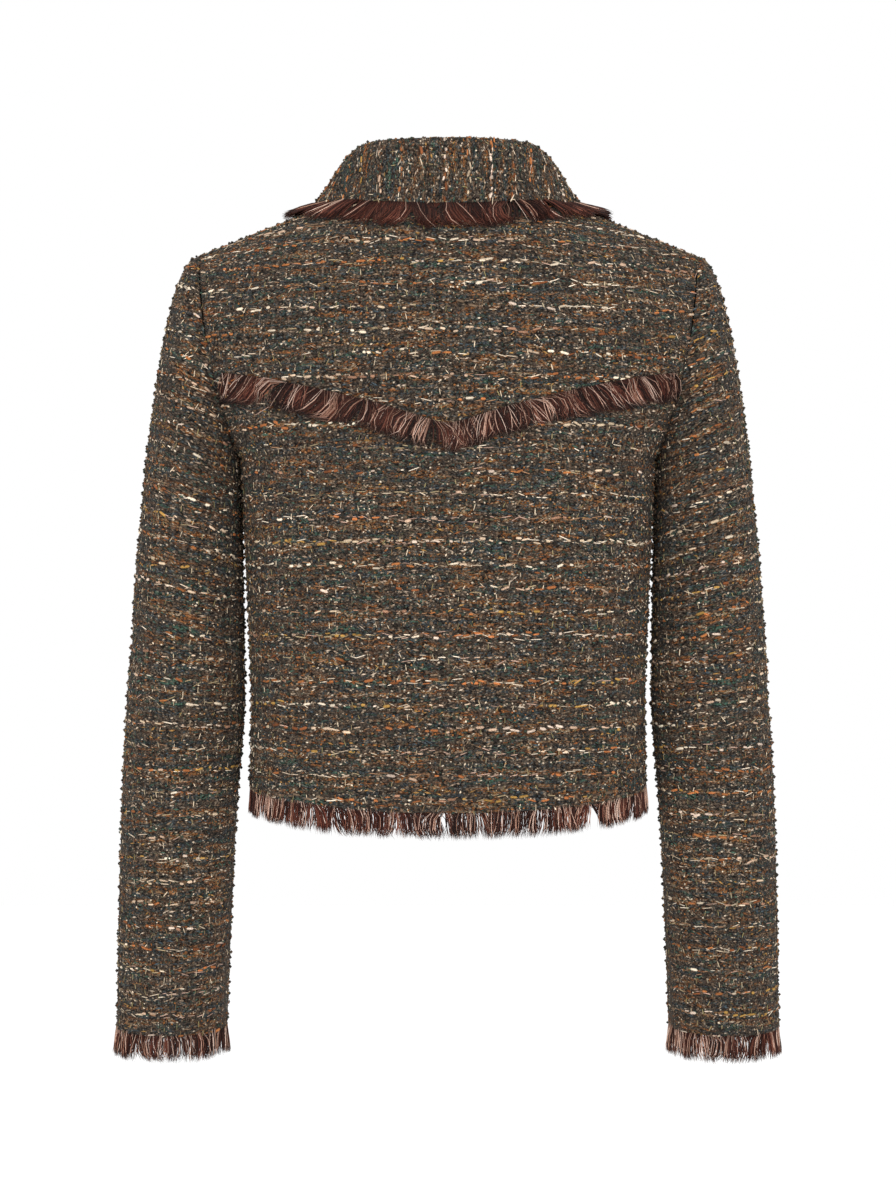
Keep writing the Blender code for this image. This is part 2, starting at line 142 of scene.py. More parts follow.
def normals(points, flip=1.0):
    """Unit normals of a grid: the cross product of its differences down and across."""
    normal = np.cross(np.gradient(points, axis=1), np.gradient(points, axis=0))
    size = np.linalg.norm(normal, axis=-1, keepdims=True)
    return flip * normal / np.maximum(size, 1e-12)


def arc(points, axis):
    """Distance along one axis of a grid from its first row or column."""
    step = np.linalg.norm(np.diff(points, axis=axis), axis=-1)
    start = np.zeros_like(np.take(step, [0], axis=axis))
    return np.concatenate([start, np.cumsum(step, axis=axis)], axis=axis)


def creased(points, normal, across, up, folds):
    """Grid pressed in along its normals: each fold is a soft uneven trough, or a ridge if
    its depth is negative: -depth exp(-(a/l)^2 - (b/w)^2) (1 + 0.3 sin(4a/l)), with a along
    the fold, and b across it from a middle line that wanders by 0.15 a sin(2a/l)."""
    press = np.zeros(across.shape)
    for at_u, at_v, angle, length, width, depth in folds:
        c, s = math.cos(math.radians(angle)), math.sin(math.radians(angle))
        a = (across - at_u) * c + (up - at_v) * s
        b = (up - at_v) * c - (across - at_u) * s + 0.15 * a * np.sin(2 * a / length)
        press -= depth * np.exp(-((a / length) ** 2) - (b / width) ** 2) * (
            1 + 0.3 * np.sin(4 * a / length))
    return points + normal * press[..., None]


def srgb(code):
    """Linear RGB of a hex colour."""
    value = np.array([int(code[k:k + 2], 16) for k in (1, 3, 5)]) / 255
    return np.where(value <= 0.04045, value / 12.92, ((value + 0.055) / 1.055) ** 2.4)


def add_node(tree, kind, inputs=None, **settings):
    """Add a node, set it up, and link or set each of its inputs."""
    node = tree.nodes.new(kind)
    for name, value in settings.items():
        setattr(node, name, value)
    for name, value in (inputs or {}).items():
        if isinstance(value, bpy.types.NodeSocket):
            tree.links.new(value, node.inputs[name])
        else:
            node.inputs[name].default_value = value
    return node


def add_ramp(tree, factor, stops, interpolation="LINEAR"):
    """Colour ramp node from (position, hex colour) stops."""
    node = add_node(tree, "ShaderNodeValToRGB", {"Fac": factor})
    ramp = node.color_ramp
    ramp.interpolation = interpolation
    while len(ramp.elements) < len(stops):
        ramp.elements.new(1.0)
    for element, (position, code) in zip(ramp.elements, stops):
        element.position, element.color = position, (*srgb(code), 1)
    return node.outputs["Color"]


def add_material(name):
    """Material with an empty tree but for its shader."""
    material = bpy.data.materials.new(name)
    material.use_nodes = True
    return material, material.node_tree, material.node_tree.nodes["Principled BSDF"]


def tweed_material():
    """Boucle tweed, woven of looped wool yarn: matt, with painted shade between its loops,
    flecked loop by loop and banded along the weft. Its pattern lies in the weave's own
    millimetres.

    The real yarn's loops are about 0.7 mm; they are drawn 1 mm wide so that they show.
    """
    material, tree, shader = add_material("boucle_tweed_wool")
    uv = add_node(tree, "ShaderNodeUVMap", uv_map="cloth").outputs["UV"]
    mm = add_node(tree, "ShaderNodeVectorMath", {0: uv, 1: (1000, 1000, 1000)},
                  operation="MULTIPLY").outputs[0]
    wander = add_node(tree, "ShaderNodeTexNoise", {"Vector": mm, "Scale": 0.07, "Detail": 2.0})
    shift = add_node(tree, "ShaderNodeVectorMath",
                     {0: wander.outputs["Color"], 1: (6, 6, 0), 2: (-3, -3, 0)},
                     operation="MULTIPLY_ADD").outputs[0]
    lay = add_node(tree, "ShaderNodeVectorMath", {0: mm, 1: shift}, operation="ADD").outputs[0]

    def stretched(x, y):
        return add_node(tree, "ShaderNodeVectorMath", {0: lay, 1: (x, y, 1)},
                        operation="MULTIPLY").outputs[0]

    # Loops 1.6 mm long and 1 mm high, each of one colour.
    loops = add_node(tree, "ShaderNodeTexVoronoi",
                     {"Vector": stretched(0.62, 1.0), "Scale": 1.0, "Randomness": 0.95})
    split = add_node(tree, "ShaderNodeSeparateColor", {"Color": loops.outputs["Color"]})
    flecks = add_ramp(tree, split.outputs["Red"], (
        (0.00, "#1f1a18"), (0.20, "#3b332d"), (0.36, "#5e5348"), (0.50, "#3f4a41"),
        (0.61, "#495257"), (0.69, "#867666"), (0.80, "#64482f"), (0.87, "#a99885"),
        (0.95, "#ded1bd")), "CONSTANT")
    # Stretches of one yarn, about 45 mm along the weft and 6 mm up. They give about two loops
    # in three most of their colour.
    bands = add_node(tree, "ShaderNodeTexNoise",
                     {"Vector": stretched(0.022, 0.17), "Scale": 1.0, "Detail": 3.0,
                      "Roughness": 0.6})
    streaks = add_ramp(tree, bands.outputs["Fac"], (
        (0.27, "#558070"), (0.36, "#3f544a"), (0.41, "#46515a"), (0.46, "#3e3833"),
        (0.50, "#5c534a"), (0.55, "#5a463a"), (0.60, "#9c6233"), (0.64, "#8d7a5c"),
        (0.69, "#bfae9a"), (0.76, "#a0602f")))
    picked = add_node(tree, "ShaderNodeMath", {0: split.outputs["Green"], 1: 0.36},
                      operation="GREATER_THAN").outputs[0]
    share = add_node(tree, "ShaderNodeMath", {0: picked, 1: 0.85},
                     operation="MULTIPLY").outputs[0]
    yarn = add_node(tree, "ShaderNodeMixRGB", {"Fac": share, "Color1": flecks,
                                               "Color2": streaks}).outputs[0]
    # Paler warp and weft threads that cross every 12 by 8.7 mm, and show on some loops only.
    place = add_node(tree, "ShaderNodeSeparateXYZ", {"Vector": lay})
    lines = []
    for axis, half_pitch, width in (("X", 6.0, 1.5), ("Y", 4.35, 1.2)):
        wave = add_node(tree, "ShaderNodeMath", {0: place.outputs[axis], 1: half_pitch},
                        operation="PINGPONG").outputs[0]
        lines.append(add_node(tree, "ShaderNodeMapRange", {
            "Value": wave, "From Min": 0.0, "From Max": width, "To Min": 1.0,
            "To Max": 0.0}).outputs[0])
    cross = add_node(tree, "ShaderNodeMath", {0: lines[0], 1: lines[1]},
                     operation="MAXIMUM").outputs[0]
    broken = add_node(tree, "ShaderNodeMath", {0: cross, 1: split.outputs["Blue"]},
                      operation="MULTIPLY").outputs[0]
    check = add_ramp(tree, broken, ((0.0, "#dedcda"), (0.35, "#ffffff")))
    lighter = add_ramp(tree, broken, ((0.0, "#000000"), (0.3, "#000000"), (1.0, "#5a5042")))
    yarn = add_node(tree, "ShaderNodeMixRGB", {"Fac": 1.0, "Color1": yarn, "Color2": check},
                    blend_type="MULTIPLY").outputs[0]
    yarn = add_node(tree, "ShaderNodeMixRGB", {"Fac": 1.0, "Color1": yarn, "Color2": lighter},
                    blend_type="ADD").outputs[0]
    # Painted shade: each loop is left light at its middle and darkened where it dips under the
    # next.
    painted_gap_shade = add_ramp(tree, loops.outputs["Distance"], (
        (0.0, "#ffffff"), (0.40, "#e0dcd6"), (0.65, "#79726c"), (0.9, "#2e2a27")))
    shaded = add_node(tree, "ShaderNodeMixRGB", {"Fac": 0.85, "Color1": yarn, "Color2": painted_gap_shade},
                      blend_type="MULTIPLY").outputs[0]
    fibre = add_node(tree, "ShaderNodeTexNoise",
                     {"Vector": stretched(1.6, 2.6), "Scale": 1.0, "Detail": 3.0})
    height = add_node(tree, "ShaderNodeMath",
                      {0: loops.outputs["Distance"], 1: -1.0, 2: fibre.outputs["Fac"]},
                      operation="MULTIPLY_ADD").outputs[0]
    bump = add_node(tree, "ShaderNodeBump",
                    {"Strength": 0.75, "Distance": 0.0009, "Height": height}).outputs[0]
    tree.links.new(shaded, shader.inputs["Base Color"])
    tree.links.new(bump, shader.inputs["Normal"])
    shader.inputs["Roughness"].default_value = 0.92
    shader.inputs["Specular IOR Level"].default_value = 0.08
    shader.inputs["Sheen Weight"].default_value = 0.03
    shader.inputs["Sheen Roughness"].default_value = 0.5
    return material


def yarn_material(name, sheen):
    """Loose yarn, spun soft: the colour that each strand carries, matt and broken by fibres.

    The fibres are drawn about 0.8 mm apart, coarser than real ones, so that they show.
    """
    material, tree, shader = add_material(name)
    own = add_node(tree, "ShaderNodeVertexColor", layer_name="yarn").outputs["Color"]
    place = add_node(tree, "ShaderNodeTexCoord").outputs["Object"]
    fibre = add_node(tree, "ShaderNodeTexNoise",
                     {"Vector": place, "Scale": 1300.0, "Detail": 2.0, "Roughness": 0.7})
    tone = add_ramp(tree, fibre.outputs["Fac"], (
        (0.30, "#8f8780"), (0.5, "#e6e2de"), (0.70, "#ffffff")))
    mixed = add_node(tree, "ShaderNodeMixRGB", {"Fac": 0.9, "Color1": own, "Color2": tone},
                     blend_type="MULTIPLY").outputs[0]
    bump = add_node(tree, "ShaderNodeBump", {"Strength": 0.5, "Distance": 0.0004,
                                             "Height": fibre.outputs["Fac"]}).outputs[0]
    tree.links.new(mixed, shader.inputs["Base Color"])
    tree.links.new(bump, shader.inputs["Normal"])
    shader.inputs["Roughness"].default_value = 0.85
    shader.inputs["Specular IOR Level"].default_value = 0.12
    shader.inputs["Sheen Weight"].default_value = sheen
    return material


TWEED = tweed_material()
SLUB_YARN = yarn_material("slub_yarn_wool", 0.03)


def add_mesh(name, points, faces, material, uv=None, colour=None):
    """Object from arrays of points and faces, with a UV per corner or a colour per point."""
    mesh = bpy.data.meshes.new(name)
    corners = faces.shape[1]
    mesh.vertices.add(len(points))
    mesh.vertices.foreach_set("co", points.astype(np.float32).ravel())
    mesh.loops.add(faces.size)
    mesh.loops.foreach_set("vertex_index", faces.astype(np.int32).ravel())
    mesh.polygons.add(len(faces))
    mesh.polygons.foreach_set("loop_start", np.arange(0, faces.size, corners, dtype=np.int32))
    mesh.update(calc_edges=True)
    if uv is not None:
        mesh.uv_layers.new(name="cloth").data.foreach_set("uv", uv.astype(np.float32).ravel())
    if colour is not None:
        layer = mesh.color_attributes.new(name="yarn", type="FLOAT_COLOR", domain="POINT")
        rgba = np.concatenate([colour, np.ones((len(colour), 1))], axis=1)
        layer.data.foreach_set("color", rgba.astype(np.float32).ravel())
    mesh.shade_smooth()
    mesh.materials.append(material)
    piece = bpy.data.objects.new(name, mesh)
    bpy.context.scene.collection.objects.link(piece)
    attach(piece, "root")
    return piece


def add_cloth(name, points, across, up, flip, closed=False):
    """Shell of cloth over a grid: outer skin on the grid, thickness added inwards."""
    rows, columns = across.shape
    last = columns - 1 if closed else columns
    index = np.arange(rows * last).reshape(rows, last)
    wrap = np.concatenate([index, index[:, :1]], axis=1) if closed else index

    def cells(grid):
        order = [grid[:-1, :-1], grid[:-1, 1:], grid[1:, 1:], grid[1:, :-1]]
        return np.stack(order if flip > 0 else order[::-1], axis=2)

    faces = cells(wrap).reshape(-1, 4)
    uv = cells(np.stack([across, up], axis=-1)).reshape(-1, 2)
    piece = add_mesh(name, points[:, :last].reshape(-1, 3), faces, TWEED, uv=uv)
    wall = piece.modifiers.new("thickness", "SOLIDIFY")
    wall.thickness, wall.offset = WALL, -1.0
    return piece


def sample(values, i, j):
    """Value of a grid at fractional rows i and columns j, blended from four corners."""
    r = np.clip(np.floor(i).astype(int), 0, values.shape[0] - 2)
    c = np.clip(np.floor(j).astype(int), 0, values.shape[1] - 2)
    a, b = i - r, j - c
    if values.ndim == 3:
        a, b = a[:, None], b[:, None]
    low = values[r, c] * (1 - b) + values[r, c + 1] * b
    high = values[r + 1, c] * (1 - b) + values[r + 1, c + 1] * b
    return low * (1 - a) + high * a


def find(first, second, a, b, i, j):
    """Fractional place where two grids read a and b, by Newton steps from a first guess, of
    three cells at most, and by how much the place misses."""
    slopes = [np.gradient(grid, axis=axis) for grid in (first, second) for axis in (0, 1)]
    top, right = first.shape[0] - 1.0, first.shape[1] - 1.0
    for _ in range(4):
        fi, fj, si, sj = [sample(slope, i, j) for slope in slopes]
        da, db = a - sample(first, i, j), b - sample(second, i, j)
        det = fi * sj - fj * si
        det = np.where(np.abs(det) < 1e-12, 1e-12, det)
        i = np.clip(i + np.clip((da * sj - db * fj) / det, -3, 3), 0, top)
        j = np.clip(j + np.clip((db * fi - da * si) / det, -3, 3), 0, right)
    miss = np.hypot(a - sample(first, i, j), b - sample(second, i, j))
    return i, j, miss


DARTS = 5  # places tried for each cell, so that few cells stay empty


def scatter(cloth, pitch, rng):
    """One place per cell of a cloth's weave, cells being pitch = (across, up) in size: darts
    thrown evenly over its area, the first to land in each cell being kept."""
    points, _, across, up = cloth
    area = np.sum(np.linalg.norm(np.cross(np.diff(points, axis=0)[:, 1:],
                                          np.diff(points, axis=1)[1:]), axis=-1))
    size = np.linalg.norm(np.cross(np.gradient(points, axis=0), np.gradient(points, axis=1)),
                          axis=-1)
    tries = int(DARTS * area / (pitch[0] * pitch[1]))
    i = rng.uniform(0, across.shape[0] - 1, tries * 2)
    j = rng.uniform(0, across.shape[1] - 1, tries * 2)
    keep = rng.uniform(0, 1, len(i)) < sample(size, i, j) / size.max()
    i, j = i[keep][:tries], j[keep][:tries]
    row = np.round(sample(up, i, j) / pitch[1]).astype(int)
    column = np.round(sample(across, i, j) / pitch[0] + 0.5 * (row % 2)).astype(int)
    cell = row * 100003 + column  # one number for each row and column
    _, first = np.unique(cell, return_index=True)
    return i[first], j[first], row[first], column[first]


# A slub is a four-sided spindle with a point at each end, and a knot is an octahedron, both
# within one unit of their middle.
LENGTHWAYS = np.array([-1, -0.62, -0.62, -0.62, -0.62, 0.62, 0.62, 0.62, 0.62, 1.0])
ROUND = np.array([[0, 0], [1, 0], [0, 1], [-1, 0], [0, -1],
                  [1, 0], [0, 1], [-1, 0], [0, -1], [0, 0]], float)
SLUB_FACES = np.array(
    [(0, 1 + (k + 1) % 4, 1 + k) for k in range(4)]
    + [(1 + k, 1 + (k + 1) % 4, 5 + (k + 1) % 4) for k in range(4)]
    + [(1 + k, 5 + (k + 1) % 4, 5 + k) for k in range(4)]
    + [(9, 5 + k, 5 + (k + 1) % 4) for k in range(4)])
NUB_POINTS = np.array([[1, 0, 0], [-1, 0, 0], [0, 1, 0], [0, -1, 0], [0, 0, 1], [0, 0, -1.0]])
NUB_FACES = np.array([(0, 2, 4), (2, 1, 4), (1, 3, 4), (3, 0, 4),
                      (2, 0, 5), (1, 2, 5), (3, 1, 5), (0, 3, 5)])


def bits(cloth, i, j, aim, size, lift, colour, long):
    """Points, faces and colours of small pieces of yarn that lie on a cloth.

    aim is the angle from the weft in radians, and size the half length, width and height.
    """
    points, normal, _, up = cloth
    centre, out = sample(points, i, j), sample(normal, i, j)
    di, dj = np.gradient(points, axis=0), np.gradient(points, axis=1)
    slope = sample(np.gradient(up, axis=1), i, j) / sample(np.gradient(up, axis=0), i, j)
    weft = sample(dj, i, j) - sample(di, i, j) * slope[:, None]
    weft -= out * np.sum(weft * out, axis=1, keepdims=True)
    weft /= np.linalg.norm(weft, axis=1, keepdims=True)
    out = out / np.linalg.norm(out, axis=1, keepdims=True)
    warp = np.cross(out, weft)
    along = weft * np.cos(aim)[:, None] + warp * np.sin(aim)[:, None]
    beside = np.cross(out, along)
    if long:
        shape = np.stack([LENGTHWAYS, ROUND[:, 0], ROUND[:, 1]], axis=1)
        pattern = SLUB_FACES
    else:
        shape, pattern = NUB_POINTS, NUB_FACES
    scaled = shape[None] * size[:, None, :]
    where = (centre + out * lift[:, None])[:, None] + (
        scaled[..., :1] * along[:, None] + scaled[..., 1:2] * beside[:, None]
        + scaled[..., 2:] * out[:, None])
    faces = pattern[None] + (np.arange(len(i)) * len(shape))[:, None, None]
    return where.reshape(-1, 3), faces.reshape(-1, 3), np.repeat(colour, len(shape), axis=0)


def palette(codes):
    """Array of linear colours from hex codes."""
    return np.array([srgb(code) for code in codes])


MAIN = palette(("#9a6238", "#8a5632", "#7c4a2b", "#a07d42", "#b59a84", "#cfc0aa", "#dccfba",
                "#a8683c", "#c2ab93", "#6b5a49", "#c9b6a6", "#94705a", "#b8a58c"))
WISPS = palette(("#c9b8a2", "#a98d7e", "#9a8a6c", "#b5a58f", "#8a6a50", "#d8cbb8"))
BETWEEN = palette(("#5a4839", "#3d5347", "#3f4b52", "#4c4838", "#978472", "#7d4d2c",
                   "#2b2623", "#4d433a", "#36463f", "#7d6a56", "#b0a08e", "#93703f"))
TICKS = palette(("#a89a80", "#8a7d5c", "#c4b49c", "#6f5a42", "#7c7450"))
LOOPS = palette(("#2a241f", "#3d332c", "#4f4235", "#353d34", "#5e4d3e", "#39342e"))
KNOTS = palette(("#1d1917", "#25201d", "#433930", "#332d28", "#3a473f", "#655a4e", "#51483e",
                 "#86623c", "#323b40", "#54402d", "#736557", "#c6b6a0", "#2c3a34", "#8c5a2f"))


ROWS, STRETCHES = 997, 31  # weft rows, and colours along a row, before the draws repeat


def runs(rng, colours, row, across, length):
    """Colour of each bit: a row keeps one colour for a stretch, then changes."""
    offset, table = rng.uniform(0, 1, ROWS), rng.integers(0, len(colours), (ROWS, STRETCHES))
    stretch = np.floor(across / length + offset[row % ROWS]).astype(int)
    return colours[table[row % ROWS, stretch % STRETCHES]]


def add_slubs(name, cloth, seed, knots):
    """Thick yarns that stand out of a cloth: slubs along the weft, threads and knots. Each
    family has one bit of yarn per cell of its pitch, moved about by its jitter."""
    rng = np.random.default_rng(seed)
    made = []

    def family(pitch, half_length, half_width, aim, colours, stretch, mixed, lift, long, skip,
               jitter):
        i, j, row, column = scatter(cloth, pitch, rng)
        a = (column - 0.5 * (row % 2)) * pitch[0] + rng.normal(0, jitter[0], len(i))
        b = row * pitch[1] + rng.normal(0, jitter[1], len(i))
        i, j, miss = find(cloth[2], cloth[3], a, b, i, j)
        # Some rows of long bits are full and others nearly bare, as the yarn comes and goes.
        full = rng.uniform(0.25, 1.35, ROWS)[row % ROWS] if long else 1.0
        keep = (miss < 0.0008) & (rng.uniform(0, 1, len(i)) < (1 - skip) * full)
        i, j, row, a = i[keep], j[keep], row[keep], a[keep]
        n = len(i)
        any_of = colours[rng.integers(0, len(colours), n)]
        tone = np.where(rng.uniform(0, 1, (n, 1)) < mixed, any_of,
                        runs(rng, colours, row, a, stretch))
        tone = tone * rng.uniform(0.75, 1.5, (n, 1))
        length = rng.uniform(*half_length, n)
        thick = rng.uniform(*half_width, n)
        size = np.stack([length, thick, thick * 0.8], axis=1)
        turned = aim[0] + rng.normal(0, aim[1], n)
        made.append(bits(cloth, i, j, turned, size, thick * 0.8 * lift, np.clip(tone, 0, 1),
                         long))

    flat, upright = 0.0, math.pi / 2
    # Slubs, fat and bright, in rows 17.4 mm apart.
    family(pitch=(0.0085, 0.0174), half_length=(0.0013, 0.0042), half_width=(0.0005, 0.0012),
           aim=(flat, 0.18), colours=MAIN, stretch=0.050, mixed=0.1, lift=0.55, long=True,
           skip=0.10, jitter=(0.0018, 0.0010))
    # Thin pale wisps that float over the slubs.
    family(pitch=(0.0075, 0.0174), half_length=(0.0022, 0.0052), half_width=(0.0003, 0.00045),
           aim=(flat, 0.22), colours=WISPS, stretch=0.080, mixed=0.3, lift=1.4, long=True,
           skip=0.25, jitter=(0.0025, 0.0014))
    # Flat knots of the ground's colours, in rows between the slubs.
    family(pitch=(0.0060, 0.0058), half_length=(0.0012, 0.0034), half_width=(0.0004, 0.0009),
           aim=(flat, 0.30), colours=BETWEEN, stretch=0.035, mixed=0.25, lift=0.4, long=False,
           skip=0.2, jitter=(0.0015, 0.0010))
    # Short upright ticks, where the warp's threads come up every 12 mm.
    family(pitch=(0.0120, 0.0087), half_length=(0.0018, 0.0031), half_width=(0.00028, 0.00042),
           aim=(upright, 0.28), colours=TICKS, stretch=0.090, mixed=0.5, lift=1.3, long=True,
           skip=0.35, jitter=(0.0010, 0.0018))
    # Dark loops that stand highest and roughen the outline.
    family(pitch=(0.0100, 0.0087), half_length=(0.0012, 0.0020), half_width=(0.0011, 0.0018),
           aim=(flat, 0.9), colours=LOOPS, stretch=0.040, mixed=0.6, lift=0.7, long=False,
           skip=0.1, jitter=(0.0015, 0.0015))
    # Small knots all over, at a pitch of each piece's own.
    family(pitch=knots, half_length=(0.0007, 0.0016), half_width=(0.0005, 0.0010),
           aim=(flat, 0.9), colours=KNOTS, stretch=0.022, mixed=0.45, lift=0.3, long=False,
           skip=0.1, jitter=(0.0008, 0.0008))
    counts = np.cumsum([0] + [len(points) for points, _, _ in made[:-1]])
    faces = np.concatenate([face + start for (_, face, _), start in zip(made, counts)])
    points, colour = [np.concatenate([group[k] for group in made]) for k in (0, 2)]
    return add_mesh(name, points, faces, SLUB_YARN, colour=colour)


def panel(side):
    """Half a torso panel as a grid, with its weave coordinates: the distance out from the
    centre, and the height, to which the slope of the yoke's top adds its own length."""
    below, beside, yoke = 44, 17, 26  # rows to the underarm, to the blade and to the top
    v = np.concatenate([np.linspace(0, 1, below)[:-1], np.linspace(1, 1.5, beside)[:-1],
                        np.linspace(1.5, 2, yoke)])
    v, u = np.meshgrid(v, np.linspace(0, 1, 42), indexing="ij")
    points = torso(side, u, v)
    across = arc(points, 1)
    rise = arc(points, 0)
    start = np.argmax(v[:, 0] >= 1.5)
    excess = np.maximum(rise - rise[start] - (points[..., 2] - points[start, :, 2]), 0)
    up = points[..., 2] + excess * np.clip(2 * v - 3, 0, 1) ** 3
    return points, across, up


def mirrored(grid):
    """Grid of the wearer's right side from that of the left."""
    return grid * np.array([-1, 1, 1])


half, half_across, half_up = panel("back")
centre = half.shape[1] - 1  # the back's middle column
back_grid = np.concatenate([mirrored(half[:, :0:-1]), half], axis=1)
back_across = np.concatenate([-half_across[:, :0:-1], half_across], axis=1)
back_up = np.concatenate([half_up[:, :0:-1], half_up], axis=1)
back_flip = -1.0
back_grid = creased(back_grid, normals(back_grid, back_flip), back_across, back_up, (
    # across, height, angle, half length, half width, depth
    (-0.118, -0.235, 62, 0.060, 0.016, 0.0022), (0.122, -0.245, 116, 0.055, 0.015, 0.0020),
    (-0.060, -0.330, 80, 0.090, 0.022, 0.0013), (0.075, -0.365, 97, 0.080, 0.024, 0.0014),
    (-0.130, -0.400, 75, 0.050, 0.016, -0.0012), (0.010, -0.410, 90, 0.060, 0.030, -0.0010),
    (0.135, -0.330, 100, 0.055, 0.014, -0.0013), (-0.095, -0.130, 30, 0.050, 0.018, 0.0012),
    (0.100, -0.118, 150, 0.050, 0.018, 0.0012), (0.0, -0.060, 0, 0.070, 0.016, 0.0010),
))
back_cloth = (back_grid, normals(back_grid, back_flip), back_across, back_up)
back = add_cloth("back_cloth", back_grid, back_across, back_up, back_flip)
back_slubs = add_slubs("back_slubs", back_cloth, 11, (0.0046, 0.0043))
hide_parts("back")

# ---------------------------------------------------------------- fronts
# The fronts: a left and a right panel of the same tweed, which meet edge to edge.
# Plain, with no buttons, since nothing of the front is known.

for hand, sign, seed in (("left", 1, 21), ("right", -1, 22)):
    grid, across, up = panel("front")
    grid = grid * np.array([sign, 1, 1])
    front_flip = float(sign)
    grid = creased(grid, normals(grid, front_flip), across, up, (
        (0.125, -0.240, 70 if sign > 0 else 66, 0.060, 0.016, 0.0022),
        (0.070, -0.350, 100, 0.085, 0.022, 0.0015 if sign > 0 else 0.0011),
        (0.120, -0.380, 84, 0.060, 0.015, -0.0013), (0.090, -0.130, 140, 0.045, 0.016, 0.0012),
        (0.0, -0.290, 90, 0.600, 0.0032, 0.0026),  # the edge turned in at the opening
    ))
    front_cloth = (grid, normals(grid, front_flip), across, up)
    front = add_cloth(f"front_{hand}_cloth", grid, across, up, front_flip)
    front_slubs = add_slubs(f"front_{hand}_slubs", front_cloth, seed, (0.0070, 0.0066))
    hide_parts(f"front_{hand}")

# ---------------------------------------------------------------- sleeves
# The sleeves: set-in tubes of the same tweed, creased at the elbow. The weft slants down
# towards the body on the upper arm, as the sleeve hangs turned.

SLEEVE = np.array([
    # outer x, outer z, inner x, inner z, half depth, centre y, bow
    (194.4, -50.7, 162.9, -212.0, 60.0, 0.0, 4.6),
    (202.0, -54.5, 162.9, -216.0, 61.5, 0.0, 4.0),
    (210.0, -68.0, 162.9, -221.0, 63.0, 0.0, 3.0),
    (217.0, -90.0, 162.9, -227.0, 64.0, 0.0, 2.0),
    (225.0, -128.0, 162.9, -236.0, 64.5, 0.0, 1.0),
    (236.5, -205.0, 162.8, -255.0, 62.5, 0.0, 0.0),
    (245.5, -300.0, 162.0, -308.0, 56.5, 1.0, 0.0),
    (253.0, -403.0, 160.8, -403.0, 49.5, 1.0, 0.0),
    (258.5, -510.0, 168.8, -510.0, 45.5, -3.0, 0.0),
    (263.0, -660.0, 176.0, -660.0, 42.5, -12.0, 0.0),
]) * MM
WEFT_SLANT = math.radians(22)  # of the upper arm's weft, fading out down the forearm
LEVEL_FROM, FADES_OVER = 0.450, 0.250
DRAWN_UP = 0.0004  # how far the sleeve's top is drawn in to the sewn armhole


def sleeve(at, angle):
    """Sleeve surface: ovals through an outer and an inner point, at places along the arm."""
    keys = np.linspace(0, 1, len(SLEEVE))
    rings = smooth(keys, SLEEVE, at)
    outer_x, outer_z, inner_x, inner_z, depth, centre_y, bow = rings.T[:, :, None]
    turn = angle[None, :]
    front = np.sin(turn) < 0
    bow = np.where(front, bow * ARMHOLE_BOW["front"] / ARMHOLE_BOW["back"], bow)
    fade = np.clip(1 - 4 * at, 0, 1)[:, None]
    ratio = ARMHOLE_DEPTH["front"] / ARMHOLE_DEPTH["back"]
    depth = np.where(front, depth * (1 - (1 - ratio) * fade), depth)
    x = (outer_x + inner_x) / 2 + (outer_x - inner_x) / 2 * np.cos(turn) + bow * np.sin(turn) ** 2
    y = centre_y + depth * np.sin(turn)
    z = (outer_z + inner_z) / 2 + (outer_z - inner_z) / 2 * np.cos(turn)
    return np.stack([x, y + 0 * x, z], axis=-1)


def sleeve_weave(points):
    """Weave coordinates of a sleeve: distance round its axis, and height along the slant."""
    drop = -points[..., 2]
    outer = np.interp(drop, -SLEEVE[:, 1], SLEEVE[:, 0])
    inner = np.interp(drop, -SLEEVE[:, 3], SLEEVE[:, 2])
    depth = np.interp(drop, -SLEEVE[:, 1], SLEEVE[:, 4])
    middle = (outer + inner) / 2
    radius = ((outer - inner) / 2 + depth) / 2
    angle = np.arctan2(points[..., 1], points[..., 0] - middle)
    angle[:, 0] = np.where(angle[:, 0] > 0, angle[:, 0] - 2 * math.pi, angle[:, 0])
    angle[:, -1] = np.where(angle[:, -1] < 0, angle[:, -1] + 2 * math.pi, angle[:, -1])
    slant = math.tan(WEFT_SLANT) * np.clip((LEVEL_FROM - drop) / FADES_OVER, 0, 1)
    return radius * angle, points[..., 2] - slant * (points[..., 0] - middle)


for hand, sign, seed in (("left", 1, 31), ("right", -1, 32)):
    turn = np.linspace(-math.pi, math.pi, 65)
    at = np.linspace(0, 1, 110)
    grid = sleeve(at, turn)
    grid[..., 0] -= DRAWN_UP * np.exp(-at / 0.01)[:, None]
    across, up = sleeve_weave(grid)
    grid = creased(grid, normals(grid, -1.0), across, up, (
        (0.075, -0.300, 28, 0.040, 0.010, 0.0028), (0.100, -0.345, 14, 0.045, 0.010, 0.0026),
        (0.095, -0.395, -12, 0.045, 0.011, 0.0024), (0.085, -0.450, 20, 0.050, 0.012, 0.0018),
        (0.060, -0.530, 66, 0.070, 0.013, 0.0016), (0.100, -0.600, 75, 0.050, 0.012, -0.0013),
        (0.045, -0.200, 60, 0.060, 0.013, 0.0016), (0.090, -0.250, 45, 0.040, 0.010, -0.0018),
        (-0.080, -0.320, 25, 0.045, 0.011, 0.0026), (-0.095, -0.370, -8, 0.045, 0.011, 0.0024),
        (-0.070, -0.440, 18, 0.050, 0.012, 0.0018), (-0.060, -0.560, 70, 0.070, 0.013, 0.0015),
        (0.010, -0.380 + 0.02 * sign, 5, 0.030, 0.014, 0.0012),
    ))
    grid = grid * np.array([sign, 1, 1])
    sleeve_flip = -float(sign)
    sleeve_cloth = (grid, normals(grid, sleeve_flip), across, up)
    piece = add_cloth(f"sleeve_{hand}_cloth", grid, across, up, sleeve_flip, closed=True)
    sleeve_slubs = add_slubs(f"sleeve_{hand}_slubs", sleeve_cloth, seed, (0.0062, 0.0056))
    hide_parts(f"sleeve_{hand}")

